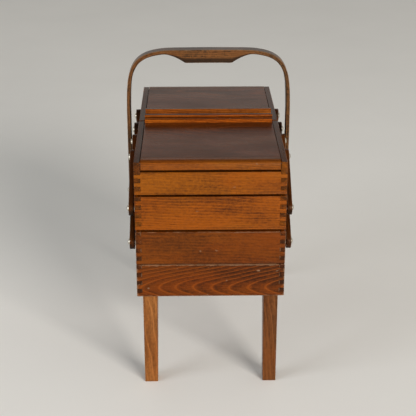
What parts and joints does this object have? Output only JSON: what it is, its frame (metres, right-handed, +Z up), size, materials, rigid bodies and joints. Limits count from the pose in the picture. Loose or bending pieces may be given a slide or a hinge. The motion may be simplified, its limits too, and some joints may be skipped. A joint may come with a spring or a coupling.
{
  "type": "sewing box",
  "caption": "Wooden cantilever sewing box on tapered legs, with stacked trays that swing out on levers, hinged lids with finger lips and a bentwood carrying handle.",
  "frame": {"origin": "centre of the four feet, on the floor", "axes": "+Z up; Y along the box, with one end (the front) at -Y; X across the box, along the lever pivots and lid pins"},
  "size_m": [0.2628, 0.384, 0.4838],
  "materials": {
    "tray_wood": "glossy orange-brown lacquer",
    "box_wood": "glossy red-brown lacquer",
    "lid_wood": "dark brown lacquer, worn smooth",
    "lever_wood": "dark brown stain, with bright screws",
    "leg_wood": "brown lacquer",
    "handle_wood": "brown lacquer, rubbed paler",
    "plywood": "plain plywood",
    "steel": "plain steel pin"
  },
  "bodies": {
    "box": {"lower_frame_left_side": "box_wood", "lower_frame_right_side": "box_wood", "lower_frame_front_end": "box_wood", "lower_frame_back_end": "box_wood", "upper_frame_left_side": "box_wood", "upper_frame_right_side": "box_wood", "upper_frame_front_end": "box_wood", "upper_frame_back_end": "box_wood", "box_bottom": "plywood", "leg_front_left": "leg_wood", "leg_front_right": "leg_wood", "leg_back_left": "leg_wood", "leg_back_right": "leg_wood", "handle": "handle_wood", "handle_spacer_left": "handle_wood", "handle_spacer_right": "handle_wood"},
    "front_long_levers": {"front_long_lever_left": "lever_wood", "front_long_lever_right": "lever_wood"},
    "front_lower_tray": {"front_lower_tray_left_side": "tray_wood", "front_lower_tray_right_side": "tray_wood", "front_lower_tray_outer_end": "tray_wood", "front_lower_tray_inner_end": "tray_wood", "front_lower_tray_bottom": "plywood"},
    "front_upper_tray": {"front_upper_tray_left_side": "tray_wood", "front_upper_tray_right_side": "tray_wood", "front_upper_tray_outer_end": "tray_wood", "front_upper_tray_inner_end": "tray_wood", "front_upper_tray_bottom": "plywood", "front_lid_left_pin": "steel", "front_lid_right_pin": "steel"},
    "front_upper_levers": {"front_upper_lever_left": "lever_wood", "front_upper_lever_right": "lever_wood"},
    "front_inner_levers": {"front_inner_lever_left": "lever_wood", "front_inner_lever_right": "lever_wood"},
    "front_lid": {"front_lid_panel": "lid_wood", "front_lid_nose_rail": "tray_wood", "front_lid_lip_rail": "tray_wood"},
    "back_long_levers": {"back_long_lever_left": "lever_wood", "back_long_lever_right": "lever_wood"},
    "back_lower_tray": {"back_lower_tray_left_side": "tray_wood", "back_lower_tray_right_side": "tray_wood", "back_lower_tray_outer_end": "tray_wood", "back_lower_tray_inner_end": "tray_wood", "back_lower_tray_bottom": "plywood"},
    "back_upper_tray": {"back_upper_tray_left_side": "tray_wood", "back_upper_tray_right_side": "tray_wood", "back_upper_tray_outer_end": "tray_wood", "back_upper_tray_inner_end": "tray_wood", "back_upper_tray_bottom": "plywood", "back_lid_left_pin": "steel", "back_lid_right_pin": "steel"},
    "back_upper_levers": {"back_upper_lever_left": "lever_wood", "back_upper_lever_right": "lever_wood"},
    "back_inner_levers": {"back_inner_lever_left": "lever_wood", "back_inner_lever_right": "lever_wood"},
    "back_lid": {"back_lid_panel": "lid_wood", "back_lid_nose_rail": "tray_wood", "back_lid_lip_rail": "tray_wood"}
  },
  "joints": [
    {"name": "front_open", "type": "hinge", "parent": "box", "child": "front_long_levers", "pos_m": [0, -0.1726, 0.2355], "axis": [1, 0, 0], "range_deg": [0, 108]},
    {"name": "front_lower_tray_pivot", "type": "hinge", "parent": "front_long_levers", "child": "front_lower_tray", "pos_m": [0, -0.1013, 0.28925], "axis": [1, 0, 0], "range_deg": [-108, 0]},
    {"name": "front_upper_tray_pivot", "type": "hinge", "parent": "front_long_levers", "child": "front_upper_tray", "pos_m": [0, -0.03, 0.343], "axis": [1, 0, 0], "range_deg": [-108, 0]},
    {"name": "front_upper_lever_pivot", "type": "hinge", "parent": "front_lower_tray", "child": "front_upper_levers", "pos_m": [0, -0.1726, 0.28925], "axis": [1, 0, 0], "range_deg": [0, 108]},
    {"name": "front_inner_lever_pivot", "type": "hinge", "parent": "box", "child": "front_inner_levers", "pos_m": [0, -0.1013, 0.2355], "axis": [1, 0, 0], "range_deg": [0, 108]},
    {"name": "front_lid_hinge", "type": "hinge", "parent": "front_upper_tray", "child": "front_lid", "pos_m": [0, -0.18485, 0.36205], "axis": [1, 0, 0], "range_deg": [0, 105]},
    {"name": "back_open", "type": "hinge", "parent": "box", "child": "back_long_levers", "pos_m": [0, 0.1726, 0.2355], "axis": [-1, 0, 0], "range_deg": [0, 108]},
    {"name": "back_lower_tray_pivot", "type": "hinge", "parent": "back_long_levers", "child": "back_lower_tray", "pos_m": [0, 0.1013, 0.28925], "axis": [-1, 0, 0], "range_deg": [-108, 0]},
    {"name": "back_upper_tray_pivot", "type": "hinge", "parent": "back_long_levers", "child": "back_upper_tray", "pos_m": [0, 0.03, 0.343], "axis": [-1, 0, 0], "range_deg": [-108, 0]},
    {"name": "back_upper_lever_pivot", "type": "hinge", "parent": "back_lower_tray", "child": "back_upper_levers", "pos_m": [0, 0.1726, 0.28925], "axis": [-1, 0, 0], "range_deg": [0, 108]},
    {"name": "back_inner_lever_pivot", "type": "hinge", "parent": "box", "child": "back_inner_levers", "pos_m": [0, 0.1013, 0.2355], "axis": [-1, 0, 0], "range_deg": [0, 108]},
    {"name": "back_lid_hinge", "type": "hinge", "parent": "back_upper_tray", "child": "back_lid", "pos_m": [0, 0.18485, 0.36205], "axis": [-1, 0, 0], "range_deg": [0, 105]}
  ],
  "couplings": [
    {"joint": "front_lower_tray_pivot", "follows": "front_open", "ratio": -1},
    {"joint": "front_upper_tray_pivot", "follows": "front_open", "ratio": -1},
    {"joint": "front_upper_lever_pivot", "follows": "front_open", "ratio": 1},
    {"joint": "front_inner_lever_pivot", "follows": "front_open", "ratio": 1},
    {"joint": "back_lower_tray_pivot", "follows": "back_open", "ratio": -1},
    {"joint": "back_upper_tray_pivot", "follows": "back_open", "ratio": -1},
    {"joint": "back_upper_lever_pivot", "follows": "back_open", "ratio": 1},
    {"joint": "back_inner_lever_pivot", "follows": "back_open", "ratio": 1}
  ]
}
